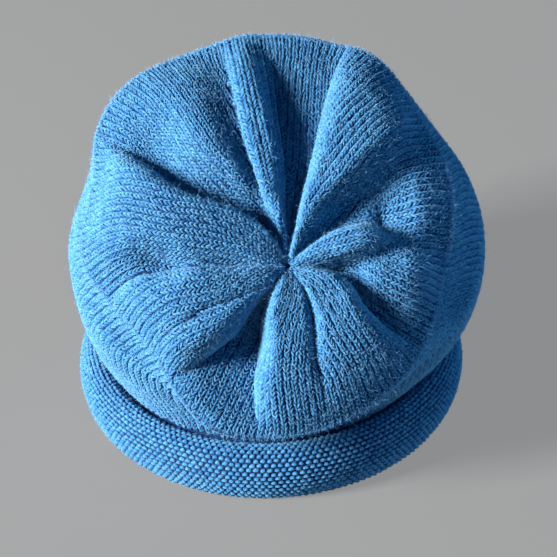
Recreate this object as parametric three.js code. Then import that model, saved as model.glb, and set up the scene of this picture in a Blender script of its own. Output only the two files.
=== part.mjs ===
// A slouchy knitted hat with a rolled brim, drawn together into deep folds at the back of its crown.
// Millimetres, +Z up. The hat rests on its rolled brim at z = 0 and its front faces -Y. The origin
// is under the middle of its bounding box. The real hat is knitted in one piece: here its three
// regions are three solids that meet face to face.
import * as THREE from "three";

// Driving dimensions.
const FABRIC = 3; // thickness of the knitted fabric
const MEETING_GAP = 0.3; // left between two solids that meet
const BRIM_WIDTH = 196; // the roll from side to side, outside
const BRIM_LENGTH = 216; // the roll from front to back, outside
const ROLL_THICKNESS = 18;
const DIMPLE_DEPTH = 4; // the drawn-together middle of the crown, below its smallest ring

// Where the middle of the brim lies, so that the whole hat is centred over the origin: the crown
// leans back and to the left of the brim.
const MIDDLE = new THREE.Vector3(4.8, -5.3, 0);

// Facets.
const CROWN_ROWS = 15;
const WALL_ROWS = 7;
const ROLL_COLUMNS = 64; // around the oval

const TURN = 2 * Math.PI;
const radians = THREE.MathUtils.degToRad;

// The rings of the cloth. Angles are as seen from behind the hat: 0 is its right (-X), 90 its
// front, 180 its left and 270 its back. Each row gives the back, left, right and front points of one
// ring. full_left and full_right draw it out at the two front corners, and drawn_in draws it in at
// the back on the left, as shares of its size.
const RING_COLUMNS = [
  "share", "back_y", "back_z", "left", "right", "side_y", "side_z", "front_y", "front_z",
  "full_left", "full_right", "drawn_in",
];

// The crown, from its drawn-together middle (share 0) to its outer crease (share 1).
const CROWN_RINGS = named(RING_COLUMNS, [
  [0.00, 77, 114, -8, 12, 76, 116, 73, 117, 0.00, 0.00, 0.00],
  [0.06, 85, 111, -1, 21, 76, 120, 66, 124, 0.00, 0.00, 0.00],
  [0.20, 95, 101, 17, 37, 74, 126, 48, 139, 0.00, 0.00, 0.00],
  [0.45, 108, 84, 46, 57, 70, 132, 20, 160, 0.02, 0.02, 0.03],
  [0.75, 117, 62, 73, 77, 60, 126, -15, 173, 0.05, 0.06, 0.11],
  [1.00, 119, 47, 87, 87, 50, 110, -42, 172, 0.09, 0.12, 0.17],
]);

// The wall, from the crown's crease (share 0) down into the roll (share 1). At the back it tucks
// under the crease, because the crown hangs over it there.
const WALL_RINGS = named(RING_COLUMNS, [
  [0.00, 119, 47, 87, 87, 50, 110, -42, 172, 0.09, 0.12, 0.17],
  [0.16, 110, 50, 93, 98, 34, 104, -68, 161, 0.03, 0.04, 0.10],
  [0.34, 103, 54, 97, 107, 20, 94, -92, 130, 0.00, 0.01, 0.02],
  [0.62, 99, 46, 95, 104, 8, 64, -104, 86, 0.00, 0.00, 0.00],
  [0.86, 95, 36, 89, 93, 2, 38, -98, 42, 0.00, 0.00, 0.00],
  [1.00, 93, 27, 83, 83, 0, 27, -93, 27, 0.00, 0.00, 0.00],
]);

// Where the rings are drawn in, and half the width of that place, in degrees.
const DRAWN_IN_ANGLE = 216;
const DRAWN_IN_HALF = 38;

// The folds that run from the middle of the crown towards its crease. Angles and depths are given at
// the shares in FOLD_STATIONS. floor is half the flat bottom's width at the middle and at the crease,
// wall the width of the bank on the clockwise and on the other side, all in degrees. A bank is
// rounded above a sharp crease, or soft all the way where soft is 1.
const FOLD_STATIONS = [0.1, 0.35, 0.65, 1];
const FOLDS = named(["name", "angle", "depth", "floor", "wall", "soft"], [
  ["tongue", [-17, -13, -10, 0], [5, 8, 4, 0], [0, 0], [16, 10], [1, 1]],
  ["front_right", [42, 22, 12, 12], [9, 19, 14, 0], [3, 10], [18, 18], [1, 1]],
  ["front_panel", [85, 77, 75, 74], [9, 14, 12, 1], [5, 12], [11, 11], [0, 1]],
  ["front_ridge", [112, 108, 104, 102], [4, 6, 5, 0], [0, 0], [6, 16], [0, 1]],
  ["front_left", [122, 147, 149, 148], [9, 16, 15, 0], [2, 0], [26, 9], [1, 0]],
  ["left", [194, 195, 196, 196], [5, 8, 7, 1], [0, 0], [16, 12], [1, 0]],
  ["left_minor", [226, 221, 219, 218], [2, 4, 1, 0], [0, 0], [8, 8], [0, 0]],
  ["back_left", [236, 248, 248, 248], [10, 24, 15, 0], [2, 18], [12, 10], [0, 0]],
  ["back", [293, 288, 288, 288], [7, 9, 2, 0], [0, 0], [8, 10], [0, 0]],
  ["back_right", [338, 324, 321, 326], [6, 13, 12, 0], [0, 0], [8, 26], [0, 1]],
]);

// Soft dents, or swellings where the depth is below zero. Those at share 1 shape the crown's outline.
const DENTS = named(["share", "angle", "half_share", "half_angle", "depth"], [
  [0.50, 0, 0.32, 28, 6],
  [0.52, 192, 0.20, 14, 5],
  [1, 12, 0.35, 18, -2],
  [1, 35, 0.35, 14, 2],
  [1, 56, 0.35, 12, -2.5],
  [1, 108, 0.35, 16, 2],
  [1, 137, 0.35, 20, -4],
  [1, 162, 0.35, 16, 4],
  [1, 346, 0.35, 16, 2],
]);

// The columns of facets follow the folds. Each row is a fold's crease (0) or one edge of its floor
// (-1 and 1), with the number of columns from there to the next one.
const COLUMN_RUNS = [
  ["tongue", 0, 6], ["front_right", -1, 3], ["front_right", 1, 10], ["front_panel", -1, 3],
  ["front_panel", 1, 6], ["front_ridge", 0, 8], ["front_left", 0, 8], ["left", 0, 6],
  ["left_minor", 0, 6], ["back_left", -1, 3], ["back_left", 1, 9], ["back", 0, 8],
  ["back_right", 0, 8],
];

// The rolled brim's section as the middle line of the fabric: out is measured from the middle of the
// roll, away from the hat. The fabric comes down inside, turns out and up, and winds in on itself.
// Between its two lowest points the roll lies flat on what the hat rests on.
const ROLL_SPIRAL = [
  { out: -7.5, up: 26.7 }, { out: -7.5, up: 10 }, { out: -3.5, up: 1 }, { out: 3.5, up: 1 },
  { out: 7.5, up: 9 }, { out: 7.4, up: 18 }, { out: 3.8, up: 25.6 }, { out: -1.2, up: 26.2 },
  { out: -3.6, up: 22 }, { out: -3.5, up: 11 }, { out: 0, up: 5.7 }, { out: 3.3, up: 10 },
  { out: 3.4, up: 16 },
];

function named(columns, rows) {
  return rows.map((row) => Object.fromEntries(columns.map((column, i) => [column, row[i]])));
}

// A smooth curve through (xs[i], ys[i]), with the slope at each point taken from its neighbours.
function smooth(xs, ys, x) {
  const last = xs.length - 1;
  const slope = (i) => (ys[i + 1] - ys[i]) / (xs[i + 1] - xs[i]);
  const tangent = (i) => {
    if (i === 0) return slope(0);
    if (i === last) return slope(last - 1);
    const before = xs[i] - xs[i - 1];
    const after = xs[i + 1] - xs[i];
    return (slope(i) * before + slope(i - 1) * after) / (before + after);
  };
  let i = 0;
  while (i < last - 1 && x >= xs[i + 1]) i++;
  const width = xs[i + 1] - xs[i];
  const t = (x - xs[i]) / width;
  return (1 + 2 * t) * (1 - t) ** 2 * ys[i] + t * (1 - t) ** 2 * width * tangent(i)
    + t * t * (3 - 2 * t) * ys[i + 1] + t * t * (t - 1) * width * tangent(i + 1);
}

// An angle brought to between minus and plus half a turn.
function wrapped(turn) {
  return THREE.MathUtils.euclideanModulo(turn + Math.PI, TURN) - Math.PI;
}

// The point of the unfolded cloth at a share of the way along its rings and an angle round them.
function ringPoint(rings, share, angle) {
  const shares = rings.map((row) => row.share);
  const at = (column) => smooth(shares, rings.map((row) => row[column]), share);
  const c = Math.cos(angle);
  const s = Math.sin(angle);
  const corner = (degrees) => Math.max(0, Math.cos(angle - radians(degrees))) ** 4;
  const middle = new THREE.Vector3(
    (at("left") - at("right")) / 2, (at("front_y") + at("back_y")) / 2,
    (at("front_z") + at("back_z")) / 2);
  const point = new THREE.Vector3(
    middle.x - (at("right") + at("left")) / 2 * c,
    at("side_y") * c * c + middle.y * s * s + (at("front_y") - at("back_y")) / 2 * s,
    at("side_z") * c * c + middle.z * s * s + (at("front_z") - at("back_z")) / 2 * s);
  const aside = wrapped(angle - radians(DRAWN_IN_ANGLE)) / radians(DRAWN_IN_HALF);
  const drawnOut = 1 + at("full_left") * corner(135) + at("full_right") * corner(45)
    - at("drawn_in") * Math.max(0, 1 - aside ** 2) ** 2;
  return point.sub(middle).multiplyScalar(drawnOut).add(middle).add(MIDDLE);
}

function ringNormal(rings, share, angle) {
  const step = 1e-3;
  const p = THREE.MathUtils.clamp(share, step, 1 - step);
  const along = ringPoint(rings, p + step, angle).sub(ringPoint(rings, p - step, angle));
  const around = ringPoint(rings, p, angle + step).sub(ringPoint(rings, p, angle - step));
  return along.cross(around).normalize();
}

function foldAngle(fold, share) {
  return radians(smooth(FOLD_STATIONS, fold.angle, share));
}

// Half the width of a fold's floor.
function halfFloor(fold, share) {
  return radians(THREE.MathUtils.lerp(fold.floor[0], fold.floor[1], share));
}

// How far the folds and dents take the crown's cloth in from its unfolded shape.
function foldDepth(share, angle) {
  let sum = 0;
  for (const fold of FOLDS) {
    const depth = smooth([0, ...FOLD_STATIONS], [0, ...fold.depth], share);
    const away = wrapped(angle - foldAngle(fold, share));
    const side = away < 0 ? 0 : 1;
    const bank = (Math.abs(away) - halfFloor(fold, share)) / radians(fold.wall[side]);
    const up = THREE.MathUtils.clamp(bank, 0, 1);
    const rounded = 1 - Math.sqrt(1 - (1 - up) ** 2);
    const soft = (1 + Math.cos(Math.PI * up)) / 2;
    sum += depth * THREE.MathUtils.lerp(rounded, soft, fold.soft[side]);
  }
  for (const dent of DENTS) {
    const u = (share - dent.share) / dent.half_share;
    const v = wrapped(angle - radians(dent.angle)) / radians(dent.half_angle);
    sum += dent.depth * Math.max(0, 1 - u * u - v * v) ** 2;
  }
  return sum;
}

// The direction between the crown's and the wall's, where the two meet.
function outwardAtCrease(angle) {
  return ringNormal(CROWN_RINGS, 1, angle).add(ringNormal(WALL_RINGS, 0, angle)).normalize();
}

// From the crease's outer edge to its inner one: a mitre between the crown's and the wall's cloth.
function creaseInward(angle) {
  const outward = outwardAtCrease(angle);
  return outward.multiplyScalar(-FABRIC / outward.dot(ringNormal(CROWN_RINGS, 1, angle)));
}

// The crown's outer or inner face. The inner face lies deeper where a fold's bank is steep, so that
// the fabric keeps its thickness.
function crownPoint(share, angle, inner) {
  const normal = ringNormal(CROWN_RINGS, share, angle);
  const atCrease = THREE.MathUtils.smoothstep(share, 0.85, 1);
  const outward = normal.clone().lerp(outwardAtCrease(angle), atCrease).normalize();
  const point = ringPoint(CROWN_RINGS, share, angle);
  point.addScaledVector(outward, -foldDepth(share, angle));
  if (!inner) return point;
  const step = radians(1.5);
  const rise = foldDepth(share, angle + step) - foldDepth(share, angle - step);
  const run = ringPoint(CROWN_RINGS, share, angle + step)
    .distanceTo(ringPoint(CROWN_RINGS, share, angle - step));
  const inward = normal.multiplyScalar(-FABRIC * Math.min(2, Math.hypot(1, rise / run)));
  return point.add(inward.lerp(creaseInward(angle), atCrease));
}

// The wall takes up what is left of the folds at the crease and lets them fade.
function wallPoint(share, angle, inner) {
  const normal = ringNormal(WALL_RINGS, share, angle);
  const belowCrease = THREE.MathUtils.smoothstep(share, 0, 0.15);
  const outward = outwardAtCrease(angle).lerp(normal, belowCrease).normalize();
  const depth = foldDepth(1, angle) * (1 - THREE.MathUtils.smoothstep(share, 0, 0.5));
  const point = ringPoint(WALL_RINGS, share, angle).addScaledVector(outward, -depth);
  if (!inner) return point;
  const inward = normal.multiplyScalar(-FABRIC);
  const level = inward.clone().setZ(0).setLength(FABRIC);
  inward.lerp(level, THREE.MathUtils.smoothstep(share, 0.8, 1));
  return point.add(creaseInward(angle).lerp(inward, THREE.MathUtils.smoothstep(share, 0, 0.12)));
}

// The angles of the facets' columns at one share of the way from the middle to the crease. They lie
// closer together near the folds.
function columnAngles(share) {
  const starts = COLUMN_RUNS.map(([name, side]) => {
    const fold = FOLDS.find((row) => row.name === name);
    return foldAngle(fold, share) + side * halfFloor(fold, share);
  });
  return COLUMN_RUNS.flatMap(([, , count], run) => {
    const end = run + 1 < starts.length ? starts[run + 1] : starts[0] + TURN;
    return Array.from({ length: count }, (_, i) => {
      const even = i / count;
      const crowded = (1 - Math.cos(Math.PI * even)) / 2;
      return THREE.MathUtils.lerp(starts[run], end, (even + 2 * crowded) / 3);
    });
  });
}

// A lathe's facets, each vertex then moved to where place(row, column) says.
function shapedLathe(profile, columns, place) {
  const geometry = new THREE.LatheGeometry(profile, columns);
  const position = geometry.getAttribute("position");
  const uv = geometry.getAttribute("uv");
  for (let i = 0; i < position.count; i++) {
    const row = Math.round(uv.getY(i) * (profile.length - 1));
    const column = (columns - Math.round(uv.getX(i) * columns)) % columns;
    position.setXYZ(i, ...place(row, column).toArray());
  }
  geometry.deleteAttribute("normal");
  geometry.deleteAttribute("uv");
  return geometry;
}

// Rows of a section: the outer face at each share, and then the inner face back again.
function thereAndBack(shares) {
  const outer = shares.map((share) => [share, false]);
  const inner = shares.toReversed().map((share) => [share, true]);
  return [...outer, ...inner];
}

// The crown: its outer face from the middle to the crease, and its inner face back again.
function crownGeometry() {
  const reach = 1 - MEETING_GAP / 60;
  const shares = Array.from(
    { length: CROWN_ROWS }, (_, i) => reach * ((i + 1) / CROWN_ROWS) ** 1.25);
  const rows = thereAndBack(shares);
  const profile = [
    new THREE.Vector2(0, 1),
    ...rows.map(([share, inner]) => new THREE.Vector2(share, inner ? 0 : 1)),
    new THREE.Vector2(0, 0),
  ];
  const columns = columnAngles(0).length;
  const pole = (inner) => {
    const right = ringPoint(CROWN_RINGS, 0, 0);
    const left = ringPoint(CROWN_RINGS, 0, Math.PI);
    const outward = ringNormal(CROWN_RINGS, 0.02, Math.PI).setX(0).normalize();
    return right.lerp(left, 0.5).addScaledVector(outward, -DIMPLE_DEPTH - (inner ? FABRIC : 0));
  };
  return shapedLathe(profile, columns, (row, column) => {
    if (row === 0) return pole(false);
    if (row === profile.length - 1) return pole(true);
    const [share, inner] = rows[row - 1];
    return crownPoint(share, columnAngles(share / reach)[column], inner);
  });
}

function wallGeometry() {
  const rows = thereAndBack(Array.from({ length: WALL_ROWS + 1 }, (_, i) => i / WALL_ROWS));
  const profile = [...rows, rows[0]].map(
    ([share, inner]) => new THREE.Vector2(inner ? 1 : 2, -share));
  const angles = columnAngles(1);
  return shapedLathe(profile, angles.length, (row, column) => {
    const [share, inner] = rows[row % rows.length];
    return wallPoint(share, angles[column], inner);
  });
}

// The roll: the spiral given its thickness, carried round the brim's oval.
function rollGeometry() {
  const spiral = new THREE.SplineCurve(ROLL_SPIRAL.map(({ out, up }) => new THREE.Vector2(out, up)));
  const steps = ROLL_SPIRAL.map((_, i) => i / (ROLL_SPIRAL.length - 1));
  const side = (t, sign) => {
    const tangent = spiral.getTangent(t);
    const point = spiral.getPoint(t);
    return new THREE.Vector2(
      point.x - sign * tangent.y * FABRIC / 2,
      Math.max(0, point.y + sign * tangent.x * FABRIC / 2));
  };
  const outline = [...steps.map((t) => side(t, 1)), ...steps.toReversed().map((t) => side(t, -1))];
  const profile = [...outline, outline[0]];
  return shapedLathe(profile, ROLL_COLUMNS, (row, column) => {
    const angle = TURN * column / ROLL_COLUMNS;
    const { x: out, y: up } = outline[row % outline.length];
    return new THREE.Vector3(
      -((BRIM_WIDTH - ROLL_THICKNESS) / 2 + out) * Math.cos(angle),
      -((BRIM_LENGTH - ROLL_THICKNESS) / 2 + out) * Math.sin(angle), up).add(MIDDLE);
  });
}

const hat = new THREE.Group();
const pieces = [
  ["crown", crownGeometry(), 0x4a8fcb],
  ["side_wall", wallGeometry(), 0x3f83c0],
  ["rolled_brim", rollGeometry(), 0x2f6fad],
];
for (const [name, geometry, color] of pieces) {
  const material = new THREE.MeshStandardMaterial({ color, roughness: 0.95, metalness: 0 });
  const mesh = new THREE.Mesh(geometry, material);
  mesh.name = name;
  hat.add(mesh);
}

export default hat;
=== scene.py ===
# %% [markdown]
# # A slouchy knitted hat with a rolled brim
#
# The hat is one soft piece of stockinette knitting. Its crown is drawn together into deep folds at
# the back, its wall hangs below the crown's crease, and its lower edge curls up into a roll that
# shows the purl side. The CAD model holds the three regions as plain solids. Here each of them is
# made again as cloth, on the same named curves, and then covered with real stitches.
#
# The frame comes first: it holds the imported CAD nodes, in metres, where every piece has to lie.

# %% Load the frame
import math

import bmesh
import bpy
import numpy as np
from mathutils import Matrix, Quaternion, Vector


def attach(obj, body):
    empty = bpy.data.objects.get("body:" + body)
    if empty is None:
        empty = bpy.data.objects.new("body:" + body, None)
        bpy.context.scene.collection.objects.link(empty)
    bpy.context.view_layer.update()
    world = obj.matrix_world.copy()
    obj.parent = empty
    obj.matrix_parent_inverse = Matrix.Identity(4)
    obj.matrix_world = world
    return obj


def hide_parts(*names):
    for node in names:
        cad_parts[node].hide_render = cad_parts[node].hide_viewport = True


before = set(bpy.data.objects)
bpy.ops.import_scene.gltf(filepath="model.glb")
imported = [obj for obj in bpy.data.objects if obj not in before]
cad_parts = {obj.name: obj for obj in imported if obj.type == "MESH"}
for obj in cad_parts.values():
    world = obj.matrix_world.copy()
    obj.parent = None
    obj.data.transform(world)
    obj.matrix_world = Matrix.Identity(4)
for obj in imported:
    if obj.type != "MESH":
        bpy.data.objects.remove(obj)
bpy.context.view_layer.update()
MM = 0.001

# %% [markdown]
# The form of the cloth is a family of rings. Each row of the tables below gives the back, left,
# right and front points of one ring, in millimetres, two shares by which it is drawn out at the
# front corners, and the share by which it is drawn in at the back on the left. Angles are as seen
# from behind: 0 is the hat's right (-X), 90 its front, 180 its left and 270 its back. These are the
# driving values of the CAD model, so the cloth lies where the solids lie.

# %% Rings of the crown and of the wall
MIDDLE = np.array([4.8, -5.3, 0.0])
RING_COLUMNS = ("share", "back_y", "back_z", "left", "right", "side_y", "side_z", "front_y",
                "front_z", "full_left", "full_right", "drawn_in")
CROWN_RINGS = np.array([
    [0.00, 77, 114, -8, 12, 76, 116, 73, 117, 0.00, 0.00, 0.00],
    [0.06, 85, 111, -1, 21, 76, 120, 66, 124, 0.00, 0.00, 0.00],
    [0.20, 95, 101, 17, 37, 74, 126, 48, 139, 0.00, 0.00, 0.00],
    [0.45, 108, 84, 46, 57, 70, 132, 20, 160, 0.02, 0.02, 0.03],
    [0.75, 117, 62, 73, 77, 60, 126, -15, 173, 0.05, 0.06, 0.11],
    [1.00, 119, 47, 87, 87, 50, 110, -42, 172, 0.09, 0.12, 0.17],
])
WALL_RINGS = np.array([
    [0.00, 119, 47, 87, 87, 50, 110, -42, 172, 0.09, 0.12, 0.17],
    [0.16, 110, 50, 93, 98, 34, 104, -68, 161, 0.03, 0.04, 0.10],
    [0.34, 103, 54, 97, 107, 20, 94, -92, 130, 0.00, 0.01, 0.02],
    [0.62, 99, 46, 95, 104, 8, 64, -104, 86, 0.00, 0.00, 0.00],
    [0.86, 95, 36, 89, 93, 2, 38, -98, 42, 0.00, 0.00, 0.00],
    [1.00, 93, 27, 83, 83, 0, 27, -93, 27, 0.00, 0.00, 0.00],
])
DRAWN_IN_ANGLE, DRAWN_IN_HALF = 216, 38  # where they are drawn in, and half its width, degrees
ROLL_WIDTH, ROLL_LENGTH = 89, 99  # half axes of the oval that the roll's middle follows
ROLL_SPIRAL = np.array([
    [-7.5, 26.7], [-7.5, 10], [-3.5, 1], [3.5, 1], [7.5, 9], [7.4, 18], [3.8, 25.6],
    [-1.2, 26.2], [-3.6, 22], [-3.5, 11], [0, 5.7], [3.3, 10], [3.4, 16],
])
FABRIC = 3
print("rings:", len(CROWN_RINGS), "in the crown,", len(WALL_RINGS), "in the wall")

# %% [markdown]
# The folds run from the middle of the crown to its crease. Each has an angle and a depth at four
# places on the way, half the width of its flat floor at both ends, and the width of the bank on
# either side of it, which is rounded above a sharp crease, or soft all the way where soft is 1. A
# dent is a soft hollow, or a swelling where its depth is below zero. Those at share 1 shape the
# crown's outline.

# %% Folds and dents
FOLD_STATIONS = [0.1, 0.35, 0.65, 1]
FOLDS = {
    "front_right": dict(angle=[42, 22, 12, 12], depth=[9, 19, 14, 0], floor=[3, 10],
                        wall=[18, 18], soft=[1, 1]),
    "front_panel": dict(angle=[85, 77, 75, 74], depth=[9, 14, 12, 1], floor=[5, 12],
                        wall=[11, 11], soft=[0, 1]),
    "front_ridge": dict(angle=[112, 108, 104, 102], depth=[4, 6, 5, 0], floor=[0, 0],
                        wall=[6, 16], soft=[0, 1]),
    "front_left": dict(angle=[122, 147, 149, 148], depth=[9, 16, 15, 0], floor=[2, 0],
                       wall=[26, 9], soft=[1, 0]),
    "left": dict(angle=[194, 195, 196, 196], depth=[5, 8, 7, 1], floor=[0, 0],
                 wall=[16, 12], soft=[1, 0]),
    "left_minor": dict(angle=[226, 221, 219, 218], depth=[2, 4, 1, 0], floor=[0, 0],
                       wall=[8, 8], soft=[0, 0]),
    "back_left": dict(angle=[236, 248, 248, 248], depth=[10, 24, 15, 0], floor=[2, 18],
                      wall=[12, 10], soft=[0, 0]),
    "back": dict(angle=[293, 288, 288, 288], depth=[7, 9, 2, 0], floor=[0, 0],
                 wall=[8, 10], soft=[0, 0]),
    "back_right": dict(angle=[338, 324, 321, 326], depth=[6, 13, 12, 0], floor=[0, 0],
                       wall=[8, 26], soft=[0, 1]),
    "tongue": dict(angle=[-17, -13, -10, 0], depth=[5, 8, 4, 0], floor=[0, 0],
                   wall=[16, 10], soft=[1, 1]),
}
DENT_COLUMNS = ("share", "angle", "half_share", "half_angle", "depth")
DENTS = [
    (0.50, 0, 0.32, 28, 6), (0.52, 192, 0.20, 14, 5), (1, 12, 0.35, 18, -2), (1, 35, 0.35, 14, 2),
    (1, 56, 0.35, 12, -2.5), (1, 108, 0.35, 16, 2), (1, 137, 0.35, 20, -4),
    (1, 162, 0.35, 16, 4), (1, 346, 0.35, 16, 2),
]
print("folds:", ", ".join(FOLDS))

# %% [markdown]
# Between the rows of a table the cloth is smooth. The curve through them is made of cubic pieces,
# and where two pieces meet they run in one direction. It is written for whole arrays at once,
# because the stitches will ask for many thousand points.

# %% A smooth curve through the rows of a table
def smooth(xs, ys, x):
    """A smooth curve through the points (xs, ys), read at x."""
    xs, ys = np.asarray(xs, float), np.asarray(ys, float)
    widths = np.diff(xs)
    slopes = np.diff(ys) / widths
    tangents = np.empty_like(ys)
    tangents[0], tangents[-1] = slopes[0], slopes[-1]
    both = widths[:-1] + widths[1:]
    tangents[1:-1] = (slopes[1:] * widths[:-1] + slopes[:-1] * widths[1:]) / both
    i = np.clip(np.searchsorted(xs, x, side="right") - 1, 0, len(xs) - 2)
    t = (x - xs[i]) / widths[i]
    return ((1 + 2 * t) * (1 - t) ** 2 * ys[i] + t * (1 - t) ** 2 * widths[i] * tangents[i]
            + t * t * (3 - 2 * t) * ys[i + 1] + t * t * (t - 1) * widths[i] * tangents[i + 1])


half_way = [smooth(CROWN_RINGS[:, 0], CROWN_RINGS[:, column], 0.5) for column in (1, 2)]
print("half way along the crown, its back is at y and z:", np.round(half_way, 1), "mm")

# %% [markdown]
# The surface itself is a few functions of a share, which is the way along the rings, and an angle.
# They need some small helpers: a vector of length 1, the short way round between two angles, a soft
# step, and the direction in which a surface faces, which is measured over a small step each way.

# %% Helpers for angles and directions
STITCH_STEP = 4e-3  # the step of share and angle over which a stitch sees the cloth's direction


def unit(v):
    return v / np.maximum(np.linalg.norm(v, axis=-1, keepdims=True), 1e-9)


def turned(angle):
    """An angle brought to between -180 and 180 degrees, in radians."""
    return (angle + np.pi) % (2 * np.pi) - np.pi


def smoothstep(x, low, high):
    t = np.clip((x - low) / (high - low), 0, 1)
    return (t * t * (3 - 2 * t))[..., None]


def normal_of(surface, share, angle, step=1e-3):
    p = np.clip(share, step, 1 - step)
    along = surface(p + step, angle) - surface(p - step, angle)
    around = surface(p, angle + step) - surface(p, angle - step)
    return unit(np.cross(along, around))


print("350 degrees is the same as", round(math.degrees(turned(math.radians(350)))), "degrees")

# %% [markdown]
# A ring passes through its back, left, front and right points like an ellipse that is tilted and
# bent. A soft bulge fills it out at each of the front corners, and a soft dip draws it in at the
# back on the left, where the crown hangs over less.

# %% Points of a ring
FRONT_LEFT, FRONT_RIGHT = 135, 45  # the front corners, degrees


def ring_point(rings, share, angle):
    at = {name: smooth(rings[:, 0], rings[:, k], share) for k, name in enumerate(RING_COLUMNS)}
    c, s = np.cos(angle), np.sin(angle)
    middle = np.stack(np.broadcast_arrays(
        (at["left"] - at["right"]) / 2, (at["front_y"] + at["back_y"]) / 2,
        (at["front_z"] + at["back_z"]) / 2), -1)
    point = np.stack([
        middle[..., 0] - (at["right"] + at["left"]) / 2 * c,
        at["side_y"] * c * c + middle[..., 1] * s * s + (at["front_y"] - at["back_y"]) / 2 * s,
        at["side_z"] * c * c + middle[..., 2] * s * s + (at["front_z"] - at["back_z"]) / 2 * s,
    ], -1)

    def bulge(degrees):
        return np.maximum(0, np.cos(angle - np.radians(degrees))) ** 4

    aside = turned(angle - np.radians(DRAWN_IN_ANGLE)) / np.radians(DRAWN_IN_HALF)
    drawn_out = (1 + at["full_left"] * bulge(FRONT_LEFT) + at["full_right"] * bulge(FRONT_RIGHT)
                 - at["drawn_in"] * np.maximum(0, 1 - aside ** 2) ** 2)
    return middle + (point - middle) * drawn_out[..., None] + MIDDLE


def crown_rings(share, angle):
    return ring_point(CROWN_RINGS, share, angle)


def wall_rings(share, angle):
    return ring_point(WALL_RINGS, share, angle)


print("the crease at the back:", crown_rings(np.ones(1), np.radians([270]))[0].round(1), "mm")

# %% [markdown]
# A fold sinks the cloth below its ring. Its floor is flat, and each bank rises like a quarter of a
# circle, sharp at the floor and round at the top, as knitting does where it is pushed together. A
# soft bank is half a wave instead. The dents are added as shallow ovals.

# %% Depth of the folds
def fold_angle(name, share):
    return np.radians(smooth(FOLD_STATIONS, FOLDS[name]["angle"], share))


def fold_depth(share, angle):
    total = 0
    for name, fold in FOLDS.items():
        depth = smooth([0, *FOLD_STATIONS], [0, *fold["depth"]], share)
        away = turned(angle - fold_angle(name, share))
        floor = np.radians(fold["floor"][0] + (fold["floor"][1] - fold["floor"][0]) * share)
        bank = np.radians(np.where(away < 0, *fold["wall"]))
        soft = np.where(away < 0, *fold["soft"])
        up = np.clip((np.abs(away) - floor) / bank, 0, 1)
        rounded = 1 - np.sqrt(1 - (1 - up) ** 2)
        total = total + depth * (rounded + soft * ((1 + np.cos(np.pi * up)) / 2 - rounded))
    for row in DENTS:
        dent = dict(zip(DENT_COLUMNS, row))
        u = (share - dent["share"]) / dent["half_share"]
        v = turned(angle - np.radians(dent["angle"])) / np.radians(dent["half_angle"])
        total = total + dent["depth"] * np.maximum(0, 1 - u * u - v * v) ** 2
    return total


every_degree = np.radians(np.arange(360))
print("the deepest place is", fold_depth(FOLD_STATIONS[1], every_degree).max().round(1),
      "mm down, at share", FOLD_STATIONS[1])

# %% [markdown]
# The cloth is sunk square to its rings. Near the crease both sides turn to one direction between
# their own, so that they meet without a step. What is left of the folds there fades on the wall.

# %% Points of the crown and of the wall
CROWN_TURNS, WALL_TURNS = 0.85, 0.15  # from and to which shares the two sides turn
FOLDS_END = 0.5  # the share of the wall at which the last of the folds is gone


def outward_at_crease(angle):
    """The direction between the crown's and the wall's, where the two meet."""
    end, start = np.ones_like(angle), np.zeros_like(angle)
    return unit(normal_of(crown_rings, end, angle) + normal_of(wall_rings, start, angle))


def crown_point(share, angle):
    share, angle = np.broadcast_arrays(share, angle)
    normal = normal_of(crown_rings, share, angle)
    normal = normal + (outward_at_crease(angle) - normal) * smoothstep(share, CROWN_TURNS, 1)
    return crown_rings(share, angle) - unit(normal) * fold_depth(share, angle)[..., None]


def wall_point(share, angle):
    share, angle = np.broadcast_arrays(share, angle)
    normal = normal_of(wall_rings, share, angle)
    normal = normal + (outward_at_crease(angle) - normal) * (1 - smoothstep(share, 0, WALL_TURNS))
    left_over = 1 - smoothstep(share, 0, FOLDS_END)
    depth = fold_depth(np.ones_like(share), angle)[..., None] * left_over
    return wall_rings(share, angle) - unit(normal) * depth


def measure(name, surface):
    ways, turns = np.meshgrid(np.linspace(0, 1, 41), np.radians(np.arange(0, 360, 5)),
                              indexing="ij")
    points = surface(ways, turns)
    print(name, "from", points.min((0, 1)).round(1), "to", points.max((0, 1)).round(1), "mm")


measure("crown", crown_point)
measure("wall", wall_point)

# %% [markdown]
# The roll is a spiral section that is carried round the brim's oval. The purl side lies half the
# fabric's thickness off the spiral, and where the roll rests on the floor it is pressed flat.

# %% Points of the roll
def spiral_point(way):
    """The roll's section, out and up, at a share of the way along its spiral."""
    steps = np.linspace(0, 1, len(ROLL_SPIRAL))
    return np.stack([smooth(steps, ROLL_SPIRAL[:, k], way) for k in (0, 1)], -1)


def roll_point(way, angle, offset=FABRIC / 2):
    """A point of the roll's purl side, or deeper in the fabric with a smaller offset."""
    tangent = unit(spiral_point(way + 1e-3) - spiral_point(way - 1e-3))
    out = spiral_point(way)[..., 0] + tangent[..., 1] * offset
    up = np.maximum(spiral_point(way)[..., 1] - tangent[..., 0] * offset, 0)
    return np.stack(np.broadcast_arrays(
        -(ROLL_WIDTH + out) * np.cos(angle), -(ROLL_LENGTH + out) * np.sin(angle), up), -1) + MIDDLE


measure("roll", roll_point)

# %% [markdown]
# Each region's cloth is a thin closed shell. A grid is the natural start: one direction runs round
# the hat, the other from ring to ring. bmesh makes the grid, its vertices are moved on to the
# surface, the two ends are merged, and a Solidify modifier gives it its thickness. The shell lies
# a little below the CAD surface, because the stitches stand up from it.

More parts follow.
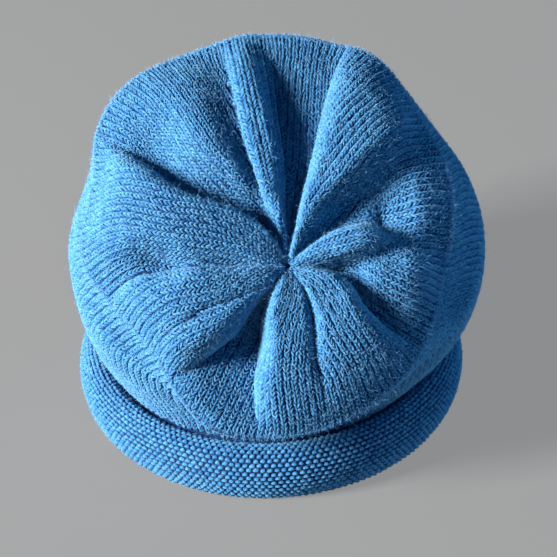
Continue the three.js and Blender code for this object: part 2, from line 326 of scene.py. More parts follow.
# %% A shell of cloth
def shell(name, columns, rows, place, thickness, outside_in=False, dimple=None):
    """A closed shell of a thickness in mm. place(share, angle) gives the points of its outer face,
    and dimple moves the middle of the crown, where the grid's first row is closed."""
    bm = bmesh.new()
    bm.loops.layers.uv.new("cloth")
    bmesh.ops.create_grid(bm, x_segments=columns, y_segments=rows, size=0.5, calc_uvs=True)
    grid = np.array([v.co for v in bm.verts]) + 0.5
    first_row = [v for v, share in zip(bm.verts, grid[:, 1]) if share < 1e-6]
    for vertex, point in zip(bm.verts, place(grid[:, 1], grid[:, 0] * 2 * np.pi) * MM):
        vertex.co = point
    if dimple:
        rim = {e for v in first_row for e in v.link_edges if e.is_boundary}
    bmesh.ops.remove_doubles(bm, verts=bm.verts, dist=1e-6)
    if dimple:
        rim = [e for e in rim if e.is_valid and e.is_boundary]
        hole = bmesh.ops.contextual_create(bm, geom=rim)["faces"]
        bmesh.ops.poke(bm, faces=hole)["verts"][0].co += Vector(dimple) * MM
    if outside_in:
        bmesh.ops.reverse_faces(bm, faces=bm.faces)
    for face in bm.faces:
        face.smooth = True
    mesh = bpy.data.meshes.new(name)
    bm.to_mesh(mesh)
    bm.free()
    piece = bpy.data.objects.new(name, mesh)
    bpy.context.scene.collection.objects.link(piece)
    fabric = piece.modifiers.new("fabric", "SOLIDIFY")
    fabric.thickness = thickness * MM
    fabric.offset = -1
    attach(piece, "root")
    print(name, len(mesh.polygons), "faces on each side")
    return piece

# %% [markdown]
# The crown's shell is thin: its ridges are narrow, and the inner face of a thicker shell would come
# out through them. It starts just off the middle, where a ring is almost a point, and is closed
# there by a small dimple. The wall's shell starts a little below the crease, and its last row is
# pulled down into the roll, so that no light gets in between the two.

# %% The cloth of the crown and of the wall
STITCH_ROOT = 0.9  # how far the cloth under the stitches lies below the CAD surface, mm
THIN_CLOTH, CLOTH = 0.6, 1.9  # thicknesses, mm
CROWN_START, WALL_START = 0.012, 0.05  # the shares at which the two shells start
DIMPLE = (0, -1, -1)  # mm
TUCK = 2.0  # how far the wall's last row is pulled down, mm


def sunk(surface, first):
    """The surface's points a stitch's root deeper, its shares from first to 1."""
    def place(share, angle):
        share = first + share * (1 - first)
        normal = normal_of(surface, share, angle, STITCH_STEP)
        return surface(share, angle) - STITCH_ROOT * normal
    return place


def wall_tucked_in(share, angle):
    points = sunk(wall_point, WALL_START)(share, angle)
    return points - np.array([0, 0, TUCK]) * (share > 0.999)[:, None]


crown_cloth = shell("crown_cloth", 300, 70, sunk(crown_point, CROWN_START), THIN_CLOTH, True,
                    DIMPLE)
wall_cloth = shell("wall_cloth", 240, 34, wall_tucked_in, CLOTH, True)

# %% [markdown]
# The roll is the same cloth carried round the brim's oval on its spiral, so its grid runs along
# the spiral instead of from ring to ring. The hat's inner face comes down, turns outwards at the
# bottom and becomes the roll's purl face, which is the one that shows.

# %% The roll's cloth
def roll_ground(way, angle):
    return roll_point(way, angle, FABRIC / 2 - STITCH_ROOT)


roll_cloth = shell("roll_cloth", 220, 52, roll_ground, CLOTH)

# %% [markdown]
# Stockinette is made of columns of Vs, called wales. A wale keeps its width, so where the crown is
# drawn together it does not get ever thinner: the cloth sinks into the folds and the wales vanish
# into the creases one after the other. The crown is therefore divided at its creases. In each
# division the wales run side by side with the middle of the division, and a wale stops where it
# meets a crease.

# %% The creases that divide the crown
WALE, ROW = 3.95, 2.25  # a stitch's width and height, mm
LAP_START = np.radians(-10)  # a lap round the hat starts here, before the first crease
NEXT_TO_MIDDLE = 0.004  # the share at which the last wales end
CREASES = ["front_right", ("front_panel", -1), ("front_panel", 1), "front_ridge", "front_left",
           "left", "back_left", "back", "back_right"]
angles = LAP_START + np.linspace(0, 2 * np.pi, 1441)
shares = np.linspace(NEXT_TO_MIDDLE, 1, 150)


def lengths_round(surface, shares):
    """The running length round each ring, at each of the angles."""
    ring = surface(shares[:, None], angles[None, :])
    steps = np.linalg.norm(np.diff(ring, axis=1), axis=2)
    return np.concatenate([np.zeros((len(shares), 1)), steps.cumsum(1)], 1)


def crease(name, share):
    """The angle of a crease, or of one side of a flat floor."""
    if isinstance(name, str):
        return fold_angle(name, share)
    name, side = name
    low, high = FOLDS[name]["floor"]
    return fold_angle(name, share) + side * np.radians(low + (high - low) * share)


round_crown = lengths_round(crown_point, shares)
wales = round(round_crown[-1, -1] / WALE)
at_crease = np.array([[np.interp(crease(name, s), angles, arc) for arc, s in
                       zip(round_crown, shares)] for name in CREASES])
next_crease = np.roll(at_crease, -1, 0)
next_crease[-1] += round_crown[:, -1]
division_middle = (at_crease + next_crease) / 2
division_half = (next_crease - at_crease) / 2
print(wales, "wales round the crease of the crown,", round(round_crown[-1, -1]), "mm")

# %% [markdown]
# Only right at the middle the wales are squeezed much narrower. The one or two in the middle of a
# division go on to the very end, however narrow it gets, and the others are taken out where they
# would cross into the next division.

# %% Where each wale runs
NARROWEST, WIDEST = 0.84, 1.2  # of a wale's own width
SQUEEZE, SQUEEZED_TO = 0.34, 0.22  # how much narrower at the middle, and up to which share
INNER = 0.75  # how far off the division's middle an inner wale may lie, in wales


def crown_wales():
    """Each wale's angle at each share, how wide it is there, and whether it still shows."""
    lap = round_crown[:, -1]
    place = (np.arange(wales) + 0.5) * lap[-1] / wales
    division = np.searchsorted(at_crease[:, -1], place) - 1
    place = np.where(division < 0, place + lap[-1], place)
    beside = place - division_middle[division, -1]
    half = division_half[division]
    narrowest = NARROWEST - SQUEEZE * np.clip(1 - shares / SQUEEZED_TO, 0, 1)
    width = np.clip(half / half[:, -1:], narrowest, WIDEST)
    inner = np.abs(beside[:, None]) < INNER * lap[-1] / wales
    aside = beside[:, None] * width
    aside = np.where(inner, np.clip(aside, -half / 2, half / 2), aside)
    along = division_middle[division] + aside
    angle = np.stack([np.interp(row % total, arc, angles) for row, total, arc in
                      zip(along.T, lap, round_crown)], 1)
    return angle, width * lap[-1] / wales, inner | (np.abs(aside) <= half + 0.01)


turn, width, shows = crown_wales()
print(int(shows[:, 0].sum()), "of", wales, "wales reach the middle")

# %% [markdown]
# The stitches follow each other along a wale, one row's height apart. A stitch needs its place and
# three directions: along its wale, across it, and out of the cloth. The way along is measured from
# a little before it to a little after it, so that Vs turn smoothly where a wale bends.

# %% Stitches along the wales
ALONG_STEP = 0.01  # the step of share over which a stitch's direction along its wale is measured


def along_wale(surface, turns, shares, wale, at):
    """The point of each wale at its share, between the shares at which its angle is known."""
    step = np.interp(np.clip(at, 0, 1), shares, np.arange(len(shares)))
    low = np.clip(step.astype(int), 0, len(shares) - 2)
    part = step - low
    return surface(shares[low] + part * (shares[low + 1] - shares[low]),
                   turns[wale, low] + part * (turns[wale, low + 1] - turns[wale, low]))


def stitches(surface, angle, width, shows, shares, from_crease):
    """The place, directions and width of each stitch on a family of wales. Rows are counted from
    the crown's crease, which is the last share or, with from_crease, the first."""
    turns = np.unwrap(angle, axis=1)
    found = []
    for wale, turn in enumerate(turns):
        path = surface(shares, turn)
        run = np.concatenate([[0], np.linalg.norm(np.diff(path, axis=0), axis=1).cumsum()])
        rows = np.arange(int(run[-1] / ROW + 0.4))
        far = (rows + 0.5) * ROW
        at = np.interp(far if from_crease else run[-1] - far, run, shares)
        keep = np.interp(at, shares, shows[wale].astype(float)) > 0.5
        found.append(np.stack([at, np.interp(at, shares, turn), np.interp(at, shares, width[wale]),
                               np.full(len(at), wale), rows], 1)[keep])
    at, turn, wide, wale, row = np.concatenate(found).T
    normal = normal_of(surface, at, turn, STITCH_STEP)
    before, after = (along_wale(surface, turns, shares, wale.astype(int), at + step)
                     for step in (-ALONG_STEP, ALONG_STEP))
    along = unit(after - before)
    along = unit(along - normal * (along * normal).sum(-1, keepdims=True))
    return dict(place=surface(at, turn), along=along, across=np.cross(along, normal),
                normal=normal, width=wide, wale=wale, row=row)


crown_stitches = stitches(crown_point, turn, width, shows, shares, False)
print(len(crown_stitches["wale"]), "stitches on the crown")

# %% [markdown]
# Where wales vanish one after the other, their ends make small steps. One more wale lies in every
# crease, a little deeper than the others, and closes what would be left open there. A small rosette
# of stitches closes the middle, where the last loops are drawn together.

# %% The wales in the creases
CREASE_DEPTH = 0.5  # how much deeper they lie, mm
PETALS, PETAL_WIDTH = 12, 2.6
PETAL_OUT, PETAL_DOWN = 0.2, 0.4  # mm off the crown's first ring

crease_turn = np.array([crease(name, shares) for name in CREASES])
in_creases = stitches(crown_point, crease_turn, np.full_like(crease_turn, WALE),
                      np.ones_like(crease_turn, bool), shares, False)
in_creases["place"] = in_creases["place"] - CREASE_DEPTH * in_creases["normal"]
petals = np.arange(PETALS)
petal_turn = petals * 2 * np.pi / PETALS
inner_ring = crown_point(np.zeros(PETALS), petal_turn)
outwards = unit(inner_ring - inner_ring.mean(0))
upwards = unit(normal_of(crown_rings, np.zeros(PETALS), petal_turn).mean(0))
upwards = np.broadcast_to(upwards, (PETALS, 3))
rosette = dict(place=inner_ring + PETAL_OUT * outwards - PETAL_DOWN * upwards, along=outwards,
               across=np.cross(outwards, upwards), normal=upwards,
               width=np.full(PETALS, PETAL_WIDTH), wale=len(CREASES) + petals,
               row=np.zeros(PETALS))
in_creases = {key: np.concatenate([values, rosette[key]]) for key, values in in_creases.items()}
print(len(in_creases["wale"]), "stitches in the creases and in the middle")

# %% [markdown]
# On the wall nothing is gathered, so all wales run on from the crown's crease to the roll, evenly
# spaced round every ring. Their rows are counted down from the crease.

# %% The wales of the wall
wall_shares = np.linspace(0, 1, 90)
round_wall = lengths_round(wall_point, wall_shares)
part_round = (np.arange(wales) + 0.5) / wales
wall_turn = np.stack([np.interp(part_round * arc[-1], arc, angles) for arc in round_wall], 1)
wall_width = np.broadcast_to(round_wall[:, -1] / wales, wall_turn.shape)
wall_stitches = stitches(wall_point, wall_turn, wall_width,
                         np.ones_like(wall_turn, bool), wall_shares, True)
print(len(wall_stitches["wale"]), "stitches on the wall,",
      round(float(wall_width.mean()), 2), "mm wide")

# %% [markdown]
# One stitch shows as the two legs of a V whose point looks towards the brim. A leg is a short
# spindle of yarn: it starts as a small sphere, which is turned to lie along Y. Nearly thirty
# thousand legs are needed, so each keeps only the half of the sphere that can be seen.

# %% A spindle of yarn
def spindle(around, along):
    """The upper half of a sphere, its poles at -1 and 1 on Y and an edge on top: its vertices and
    triangles."""
    bm = bmesh.new()
    bmesh.ops.create_uvsphere(bm, u_segments=around, v_segments=along, radius=1)
    bmesh.ops.triangulate(bm, faces=bm.faces)
    bmesh.ops.rotate(bm, verts=bm.verts, cent=(0, 0, 0),
                     matrix=Quaternion((1, 0, 0), -math.pi / 2).to_matrix())
    bmesh.ops.rotate(bm, verts=bm.verts, cent=(0, 0, 0),
                     matrix=Quaternion((0, 1, 0), math.pi / 2).to_matrix())
    bm.normal_update()
    unseen = [face for face in bm.faces if face.normal.z < 0]
    bmesh.ops.delete(bm, geom=unseen, context="FACES")
    bm.verts.index_update()
    verts = np.array([v.co for v in bm.verts])
    triangles = np.array([[v.index for v in face.verts] for face in bm.faces])
    bm.free()
    return verts, triangles


SPINDLE, SPINDLE_FACES = spindle(4, 5)
print(len(SPINDLE_FACES), "triangles in a spindle")

# %% [markdown]
# The spindle is drawn out and leant over to make the left leg of a V. The end at the point of the V
# lies on top, and the other end dives under the next stitch. A wale stands up as a soft ridge, so
# the outer side of its legs lies lower.

# %% One leg of a stitch
LEG_LENGTH = 0.74  # half of it, in rows
LEG_WIDTH = 0.215  # half of it, in stitch widths
LEG_HEIGHT = 1.15  # half of it, mm
LEG_ASIDE, LEG_LEAN, LEG_BEND = 0.25, 0.2, 0.02  # of a stitch's width
LEG_DEPTH, LEG_RISE = 0.5, 0.3  # mm


def left_leg(roundness):
    """The left leg of a V. The edges of its wale lie lower than the middle by the roundness, mm."""
    way = SPINDLE[:, 1]
    aside = LEG_WIDTH * SPINDLE[:, 0] - LEG_ASIDE + LEG_LEAN * way + LEG_BEND * way ** 2
    height = (LEG_HEIGHT * SPINDLE[:, 2] - LEG_DEPTH + LEG_RISE * way
              - roundness * np.abs(2 * aside) ** 3)
    return np.stack([aside, LEG_LENGTH * way, height], 1)


print("a leg is", round(2 * LEG_LENGTH * ROW, 1), "mm long and", round(2 * LEG_WIDTH * WALE, 1),
      "mm wide")

# %% [markdown]
# All copies of a piece go into one mesh. Blender would be slow with an object for each stitch, and
# slow with bmesh for so many vertices, so the whole arrays are handed to the mesh at once.

# %% Many copies in one mesh
def joined(name, groups):
    """One mesh of many copies. Each group gives its copies' vertices in mm, the triangles of one
    copy, a tint for each vertex, which also holds painted shade, and UV maps by name."""
    verts, faces, tint_and_shade, layers = [], [], [], {}
    start = 0
    for copies, triangles, tints_and_shades, maps in groups:
        count, size = copies.shape[:2]
        verts.append(copies.reshape(-1, 3))
        faces.append((start + triangles[None] + np.arange(count)[:, None, None] * size)
                     .reshape(-1, 3))
        tint_and_shade.append(tints_and_shades.ravel())
        for layer, places in maps.items():
            layers.setdefault(layer, []).append(places.reshape(-1, 2))
        start += count * size
    verts, faces = np.concatenate(verts) * MM, np.concatenate(faces)
    verts[:, 2] = np.maximum(verts[:, 2], 0)  # what lies under the roll is pressed flat
    mesh = bpy.data.meshes.new(name)
    mesh.vertices.add(len(verts))
    mesh.vertices.foreach_set("co", verts.astype(np.float32).ravel())
    mesh.loops.add(faces.size)
    mesh.loops.foreach_set("vertex_index", faces.astype(np.int32).ravel())
    mesh.polygons.add(len(faces))
    mesh.polygons.foreach_set("loop_start", np.arange(0, faces.size, 3, dtype=np.int32))
    mesh.polygons.foreach_set("use_smooth", np.ones(len(faces), bool))
    for layer, places in layers.items():
        corners = np.concatenate(places)[faces.ravel()]
        mesh.uv_layers.new(name=layer).data.foreach_set("uv", corners.astype(np.float32).ravel())
    # each vertex's tint: the stitch's own tone, plus painted shade on its lower parts
    mesh.attributes.new("tint_and_shade", "FLOAT", "POINT").data.foreach_set(
        "value", np.concatenate(tint_and_shade).astype(np.float32))
    mesh.update(calc_edges=True)
    piece = bpy.data.objects.new(name, mesh)
    bpy.context.scene.collection.objects.link(piece)
    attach(piece, "root")
    print(name, len(faces), "triangles")
    return piece

# %% [markdown]
# Hand-made stitches are never quite alike. Each copy is a little off its place, its size and its
# lean, and has a tint of its own. Its lower parts are darker, because little light comes down
# between the loops.

# %% Laying a stitch's shape on its place
OFF_PLACE = (0.035, 0.05, 0.09)  # in stitch widths, rows and mm
OFF_SIZE, OFF_LEAN = 0.05, 0.07
DEEP_SHADE = 1.3  # how much darker a stitch's lowest parts are, as a tint
SHADE_TOP, SHADE_DEPTH = 0.3, 1.2  # where the shade begins, and how far down it grows, mm
YARN_JUMP = 40  # how far apart two stitches may lie along the yarn map
random = np.random.default_rng(7)


def laid_on(template, row_height, stitch):
    """The template's vertices on every stitch: X across in stitch widths, Y along in rows, Z up
    in mm."""
    count = len(stitch["wale"])
    shift = random.normal(0, 1, (count, 3)) * OFF_PLACE
    size = 1 + random.normal(0, OFF_SIZE, (count, 3))
    lean = random.normal(0, OFF_LEAN, count)
    local = template[None] * size[:, None] + shift[:, None]
    local[..., 0] += lean[:, None] * template[None, :, 1]
    x = local[..., 0] * stitch["width"][:, None]
    y = local[..., 1] * row_height
    return (stitch["place"][:, None] + x[..., None] * stitch["across"][:, None]
            + y[..., None] * stitch["along"][:, None]
            + local[..., 2, None] * stitch["normal"][:, None])


def maps_of(template, stitch, first, shape, variety=0.65):
    """A tint for each vertex, the stitch's own random tone with a painted shade on its lower parts;
    the yarn map, which runs along each copy from its own random start; and the bake's map, with
    one small field for each stitch, as on squared paper."""
    own = random.random(len(stitch["wale"]))
    # painted shade: the lower a vertex lies in the stitch, the darker its tint
    depth = DEEP_SHADE * np.clip((SHADE_TOP - template[:, 2]) / SHADE_DEPTH, 0, 1)
    tint_and_shade = 0.5 + variety * (own[:, None] - 0.5) - depth
    yarn = np.stack([template[None, :, 1] * 0.5 + own[:, None] * YARN_JUMP,
                     np.broadcast_to(template[None, :, 0], (len(own), len(template)))], -1)
    field = np.stack([stitch["wale"] - first, stitch["row"]], 1)[:, None]
    inside = np.stack([template[:, 0] * 0.96 + 0.5, 0.5 - template[:, 1] * 0.66], 1)[None]
    return tint_and_shade, {"yarn": yarn, "OFBake": (field + inside) / shape}


def chosen(stitch, mask):
    return {key: value[mask] for key, value in stitch.items()}


print("no two of the", 2 * len(crown_stitches["wale"]), "legs on the crown will be alike")

# %% [markdown]
# A piece stays under 200,000 triangles, so the stitches are cut into sectors. The right leg of a
# V is the left one mirrored, and its triangles are turned round with it.

# %% The stitches of the crown and of the wall
CROWN_ROUND, WALL_ROUND = 0.55, 0.85  # how much lower a wale's edges lie, mm
MIRROR = [-1, 1, 1]


def knit(region, stitch, sectors, roundness):
    pieces = []
    left = left_leg(roundness)
    legs = (left, SPINDLE_FACES), (left * MIRROR, SPINDLE_FACES[:, ::-1])
    last = stitch["wale"].max() + 1
    for sector in range(sectors):
        part = chosen(stitch, stitch["wale"] * sectors // last == sector)
        first = part["wale"].min()
        shape = [part["wale"].max() + 1 - first, part["row"].max() + 1]
        groups = [(laid_on(leg, ROW, part), faces, *maps_of(leg, part, first, shape))
                  for leg, faces in legs]
        pieces.append(joined(f"{region}_stitches_{sector + 1}", groups))
    return pieces


crown_pieces = knit("crown", crown_stitches, 4, CROWN_ROUND)
crown_pieces += knit("crease", in_creases, 1, CROWN_ROUND)
wall_pieces = knit("wall", wall_stitches, 4, WALL_ROUND)

# %% [markdown]
# The roll turns its purl side out: there the loops' heads show as short bows, each row half a
# stitch off the one before. A bow is a thicker spindle, laid across and bent.

# %% A purl bow
BOW_LENGTH = 0.52  # half of it, in stitch widths
BOW_THICKNESS, BOW_BEND, BOW_BACK = 0.46, 0.26, 0.12  # in rows
BOW_HEIGHT, BOW_HUMP, BOW_DEPTH = 1.25, 0.35, 0.85  # mm
bow_way = SPINDLE[:, 1]
arch = 1 - bow_way ** 2
bow = np.stack([BOW_LENGTH * bow_way, BOW_BEND * arch - BOW_BACK + BOW_THICKNESS * SPINDLE[:, 0],
                BOW_HEIGHT * SPINDLE[:, 2] + BOW_HUMP * arch - BOW_DEPTH], 1)
print("a bow's top lies", round(float(bow[:, 2].max()), 2), "mm above the roll's CAD surface")

# %% [markdown]
# The rows of bows run round the oval. They start where the wall comes down and go on round the
# roll's outside and underneath it, until the next turn of the spiral hides them.

# %% The purl bows of the roll
PURL_COLUMNS, PURL_ROW = 186, 2.35
SEEN_WAY = 0.66  # the share of the spiral that carries bows
LAP_WAY = 0.35  # the share where the bows are spaced out evenly
PURL_VARIETY = 0.45  # less than on the crown, because the real roll looks more even


def purl_stitches(last_way):
    """Places for the bows on the roll's purl side, from where the wall comes down."""
    ways = np.linspace(0, last_way, 400)
    path = roll_point(ways, np.zeros(1))
    run = np.concatenate([[0], np.linalg.norm(np.diff(path, axis=0), axis=1).cumsum()])
    rows = np.arange(int(run[-1] / PURL_ROW))
    at = np.interp((rows + 0.5) * PURL_ROW, run, ways)
    lap = lengths_round(roll_point, np.array([LAP_WAY]))[0]
    row, column = np.meshgrid(rows, np.arange(PURL_COLUMNS), indexing="ij")
    part = (column + 0.5 * (row % 2) + 0.25) / PURL_COLUMNS
    turn = np.interp(part % 1 * lap[-1], lap, angles)
    row, column, turn = row.ravel(), column.ravel(), turn.ravel()
    way = at[row]
    step = STITCH_STEP / 2
    along = unit(roll_point(way + step, turn) - roll_point(way - step, turn))
    across = roll_point(way, turn + step) - roll_point(way, turn - step)
    width = np.linalg.norm(across, axis=1) / STITCH_STEP * 2 * np.pi / PURL_COLUMNS
    across = unit(across)
    return dict(place=roll_point(way, turn), along=along, across=across,
                normal=unit(np.cross(across, along)), width=width, wale=column, row=row)


roll_stitches = purl_stitches(SEEN_WAY)
roll_pieces = []
for sector in range(2):
    part = chosen(roll_stitches, roll_stitches["wale"] * 2 // PURL_COLUMNS == sector)
    shape = [PURL_COLUMNS / 2 + 1, part["row"].max() + 1]
    first = part["wale"].min()
    roll_pieces.append(joined(f"roll_stitches_{sector + 1}", [
        (laid_on(bow, PURL_ROW, part), SPINDLE_FACES,
         *maps_of(bow, part, first, shape, PURL_VARIETY))]))

# %% [markdown]
# The wool is brushed soft: fine fibres stand out of the yarn everywhere. Each fibre is a narrow
# curved ribbon that starts on a random stitch. Some more of them stand along the crown's crease,
# where the cloth is bent over, and a few long ones stray further off.

# %% Fuzz
RIBBON = np.array([(0, 1, 3), (0, 3, 2), (2, 3, 4)])
RIBBON_HALF = (0.03, 0.055)  # half a fibre's width, from and to, mm
NARROWING = 0.8  # how wide a fibre still is half way
BEND, DROOP = 0.3, 0.2  # how much a fibre bends any way, and down, in lengths


def fuzz(name, stitch, count, length):
    """So many fibres on the stitches, most of them about as long as given, in mm."""
    start = chosen(stitch, random.integers(0, len(stitch["wale"]), count))
    spot = random.uniform(-0.5, 0.5, (count, 2))
    base = (start["place"] + start["across"] * (spot[:, :1] * start["width"][:, None])
            + start["along"] * spot[:, 1:] * ROW
            + start["normal"] * random.uniform(0.1, 0.6, (count, 1)))
    turn = random.uniform(0, 2 * np.pi, (count, 1))
    rise = random.uniform(0.05, 1, (count, 1)) ** 1.4
    flat = np.cos(turn) * start["across"] + np.sin(turn) * start["along"]
    ahead = np.sqrt(1 - rise ** 2) * flat + rise * start["normal"]
    bend = random.normal(0, BEND, (count, 3)) - DROOP * start["normal"]
    reach = length * random.gamma(4, 0.25, count)
    way = np.array([0, 0.5, 1])
    path = base[:, None] + reach[:, None, None] * (
        way[:, None] * ahead[:, None] + way[:, None] ** 2 * bend[:, None])
    side = unit(np.cross(ahead, random.normal(0, 1, (count, 3))))
    side = side * random.uniform(*RIBBON_HALF, (count, 1))
    ribbon = np.stack([path[:, 0] - side, path[:, 0] + side, path[:, 1] - NARROWING * side,
                       path[:, 1] + NARROWING * side, path[:, 2]], 1)
    piece = joined(name, [(ribbon, RIBBON, np.zeros((count, 5)), {})])
    return piece


crease_stitches = chosen(crown_stitches, crown_stitches["row"] < 1)
fuzz_pieces = [
    fuzz("crown_fuzz", crown_stitches, 34000, 2.1),
    fuzz("crease_fuzz", crease_stitches, 8000, 1.4),
    fuzz("wall_fuzz", wall_stitches, 25000, 1.8),
    fuzz("brim_fuzz", roll_stitches, 11000, 1.6),
    fuzz("stray_fibres", crown_stitches, 120, 8),
]

# %% [markdown]
# The three shells take the places of the CAD nodes, which stay in the simulation but are not seen.

# %% What stands for what
for cloth, node, slot in ((crown_cloth, "crown", "crown_knit"),
                          (wall_cloth, "side_wall", "wall_knit"),
                          (roll_cloth, "rolled_brim", "brim_knit")):
    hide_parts(node)
    print(cloth.name, "stands for", node)

# %% [markdown]
# The yarn is a soft blue wool blend. Its fibres run along the yarn, so the colour is streaked along
# the yarn map. Every stitch has its own tint, which also carries a painted shade on its lower
# parts, and soft patches a few stitches wide lie over them all. The three are added up and choose a
# colour between the dark and the light one. All this is a group, because the yarn and the ground
# under it both use it.

# %% The streaks of the yarn
def link(tree, *pairs):
    for a, b in pairs:
        tree.links.new(a, b)


def new_node(tree, kind, **inputs):
    """A new node with some of its inputs set, whose names are written with _ for a space."""
    made = tree.nodes.new(kind)
    for name, value in inputs.items():
        made.inputs[name.replace("_", " ")].default_value = value
    return made


def weighed(tree, weight):
    """A node that gives its first input, times the weight, plus its third input."""
    made = tree.nodes.new("ShaderNodeMath")
    made.operation = "MULTIPLY_ADD"
    made.inputs[1].default_value = weight
    return made


def streaks_group():
    tree = bpy.data.node_groups.new("yarn fibres", "ShaderNodeTree")
    for name, way, kind in (("Light", "INPUT", "Color"), ("Dark", "INPUT", "Color"),
                            ("Places", "INPUT", "Vector"), ("Tint", "INPUT", "Float"),
                            ("Color", "OUTPUT", "Color"), ("Height", "OUTPUT", "Float")):
        tree.interface.new_socket(name, in_out=way, socket_type="NodeSocket" + kind)
    given = tree.nodes.new("NodeGroupInput")
    result = tree.nodes.new("NodeGroupOutput")
    streaks = new_node(tree, "ShaderNodeTexNoise", Scale=3, Detail=3)
    place = tree.nodes.new("ShaderNodeTexCoord")
    patches = new_node(tree, "ShaderNodeTexNoise", Scale=55, Detail=2)
    spread = new_node(tree, "ShaderNodeMapRange", From_Min=0.3, From_Max=0.7)
    # the tint carries each stitch's own tone and the painted shade of its lower parts
    with_tint_and_shade = weighed(tree, 0.5)
    with_patches = weighed(tree, 0.3)
    lightness = new_node(tree, "ShaderNodeMapRange", From_Min=0.37, From_Max=1.4)
    mix = tree.nodes.new("ShaderNodeMix")
    mix.data_type = "RGBA"
    link(tree, (given.outputs["Places"], streaks.inputs["Vector"]),
         (place.outputs["Object"], patches.inputs["Vector"]),
         (streaks.outputs["Fac"], spread.inputs["Value"]),
         (given.outputs["Tint"], with_tint_and_shade.inputs[0]),
         (spread.outputs["Result"], with_tint_and_shade.inputs[2]),
         (patches.outputs["Fac"], with_patches.inputs[0]),
         (with_tint_and_shade.outputs[0], with_patches.inputs[2]),
         (with_patches.outputs[0], lightness.inputs["Value"]),
         (lightness.outputs["Result"], mix.inputs["Factor"]),
         (given.outputs["Dark"], mix.inputs["A"]), (given.outputs["Light"], mix.inputs["B"]),
         (mix.outputs["Result"], result.inputs["Color"]),
         (spread.outputs["Result"], result.inputs["Height"]))
    return tree


fibres = streaks_group()
print("the group", fibres.name, "has", len(fibres.nodes), "nodes")

# %% [markdown]
# Wool hardly shines, but its edges glow a little, which is what sheen is for. The yarn's fibres are
# twisted, so the streaks are turned a little off the yarn's own direction. The ground is the same
# yarn seen deep between the stitches; its colour is painted much darker, as painted shade.

# %% The yarn and the ground under it
TWIST = 0.35  # radians
FIBRE_RELIEF = 0.0006  # m


def yarn_material(name, light, dark, places_map, scale):
    material = bpy.data.materials.new(name)
    material.use_nodes = True
    tree = material.node_tree
    shader = tree.nodes["Principled BSDF"]
    shader.inputs["Roughness"].default_value = 0.9
    shader.inputs["Specular IOR Level"].default_value = 0.1
    shader.inputs["Sheen Weight"].default_value = 0.2
    shader.inputs["Sheen Roughness"].default_value = 0.5
    shader.inputs["Sheen Tint"].default_value = (0.55, 0.78, 1, 1)
    places = tree.nodes.new("ShaderNodeUVMap")
    places.uv_map = places_map
    stretch = new_node(tree, "ShaderNodeMapping", Scale=scale, Rotation=(0, 0, TWIST))
    # the tint attribute: each stitch's own tone, with painted shade on its lower parts
    tint_and_shade = tree.nodes.new("ShaderNodeAttribute")
    tint_and_shade.attribute_name = "tint_and_shade"
    look = tree.nodes.new("ShaderNodeGroup")
    look.node_tree = fibres
    look.inputs["Light"].default_value = light
    look.inputs["Dark"].default_value = dark
    height = new_node(tree, "ShaderNodeBump", Strength=0.5, Distance=FIBRE_RELIEF)
    link(tree, (places.outputs["UV"], stretch.inputs["Vector"]),
         (stretch.outputs["Vector"], look.inputs["Places"]),
         (tint_and_shade.outputs["Fac"], look.inputs["Tint"]),
         (look.outputs["Color"], shader.inputs["Base Color"]),
         (look.outputs["Height"], height.inputs["Height"]),
         (height.outputs["Normal"], shader.inputs["Normal"]))
    return material


yarn = yarn_material("blue yarn", (0.16, 0.48, 0.74, 1), (0.005, 0.09, 0.29, 1), "yarn",
                     (1.2, 9, 1))
# painted shade: the ground's colours are much darker than the yarn's, for the shade between the
# stitches
shaded_ground = yarn_material("knitted ground", (0.006, 0.045, 0.18, 1), (0.002, 0.018, 0.08, 1), "cloth",
                       (900, 300, 1))
for piece in crown_pieces + wall_pieces + roll_pieces:
    piece.data.materials.append(yarn)
for piece in (crown_cloth, wall_cloth, roll_cloth):
    piece.data.materials.append(shaded_ground)
print(yarn.name, "on the stitches,", shaded_ground.name, "on the shells")

# %% [markdown]
# A single fibre lets light through and looks paler than the yarn it comes from.

# %% The loose fibres' material
pale = bpy.data.materials.new("pale fibres")
pale.use_nodes = True
pale_shader = pale.node_tree.nodes["Principled BSDF"]
pale_shader.inputs["Base Color"].default_value = (0.18, 0.46, 0.80, 1)
pale_shader.inputs["Roughness"].default_value = 0.8
for piece in fuzz_pieces:
    piece.data.materials.append(pale)
print(pale.name, "on", len(fuzz_pieces), "pieces")

# %% [markdown]
# The hat rests on a plain floor of pale paper. A little light of its own keeps the floor even.

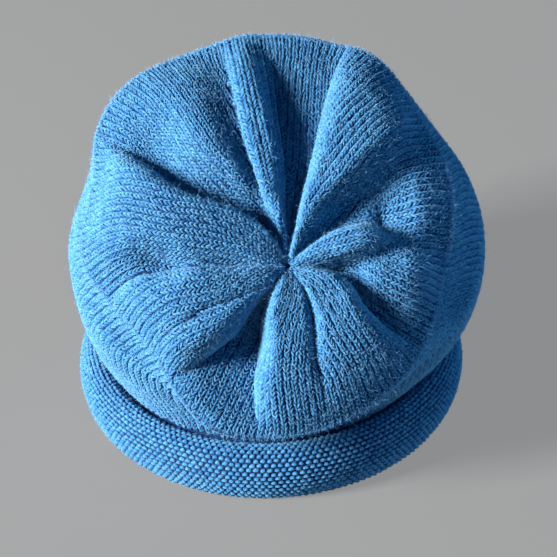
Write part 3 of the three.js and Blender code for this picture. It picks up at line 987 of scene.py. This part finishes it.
# %% The floor
FLOOR_HALF = 4  # m
mesh = bpy.data.meshes.new("floor")
bm = bmesh.new()
bmesh.ops.create_grid(bm, x_segments=1, y_segments=1, size=FLOOR_HALF)
bm.to_mesh(mesh)
bm.free()
floor = bpy.data.objects.new("floor", mesh)
bpy.context.scene.collection.objects.link(floor)
paper = bpy.data.materials.new("pale floor")
paper.use_nodes = True
paper_shader = paper.node_tree.nodes["Principled BSDF"]
paper_shader.inputs["Base Color"].default_value = (0.055, 0.055, 0.055, 1)
paper_shader.inputs["Emission Color"].default_value = (1, 1, 1, 1)
paper_shader.inputs["Emission Strength"].default_value = 0.26
paper_shader.inputs["Roughness"].default_value = 0.9
floor.data.materials.append(paper)
print("the floor is", 2 * FLOOR_HALF, "m wide")

# %% [markdown]
# The camera looks down on the hat's back, where the folds meet. It stands well away and has a long
# lens, so that near and far parts keep their sizes, and it leans a little to one side.

# %% The camera
TARGET = Vector((-0.7, 14.7, 72.6)) * MM
ELEVATION, LEANING = math.radians(33), math.radians(2.4)
DISTANCE, FRAME_WIDTH = 1.2, 0.278  # m
SENSOR = 36  # mm

lens = bpy.data.cameras.new("camera")
lens.sensor_width = SENSOR
lens.lens = SENSOR * DISTANCE / FRAME_WIDTH
camera = bpy.data.objects.new("camera", lens)
bpy.context.scene.collection.objects.link(camera)
back = Vector((0, math.cos(ELEVATION), math.sin(ELEVATION)))
camera.location = TARGET + back * DISTANCE
camera.rotation_mode = "QUATERNION"
camera.rotation_quaternion = ((-back).to_track_quat("-Z", "Y")
                              @ Quaternion((0, 0, 1), -LEANING))
bpy.context.scene.camera = camera
print("a lens of", round(lens.lens), "mm")

# %% [markdown]
# One large soft lamp stands low on the left, so that every fold and every stitch has a lit side and
# a shaded one. Two weak blue lamps and a weak blue sky keep the shaded sides from going black.

# %% Light
def lamp(name, place, size, power, colour):
    light = bpy.data.lights.new(name, "AREA")
    light.energy, light.size, light.color = power, size, colour
    owner = bpy.data.objects.new(name, light)
    bpy.context.scene.collection.objects.link(owner)
    owner.location = place
    owner.rotation_mode = "QUATERNION"
    owner.rotation_quaternion = (TARGET - Vector(place)).to_track_quat("-Z", "Y")
    print(name, "lamp,", power, "W")


lamp("key", (2.25, 0.85, 1.15), 0.7, 245, (1, 0.98, 0.94))
lamp("fill", (-0.9, 1.1, 1.5), 0.6, 3, (0.1, 0.6, 1))
lamp("side", (-1.9, 0.3, 0.4), 0.5, 11, (0.25, 0.68, 1))
world = bpy.data.worlds.new("studio")
bpy.context.scene.world = world
world.use_nodes = True
sky = world.node_tree.nodes["Background"]
sky.inputs["Color"].default_value = (0.15, 0.55, 1, 1)
sky.inputs["Strength"].default_value = 0.08
bpy.context.scene.view_settings.view_transform = "Standard"
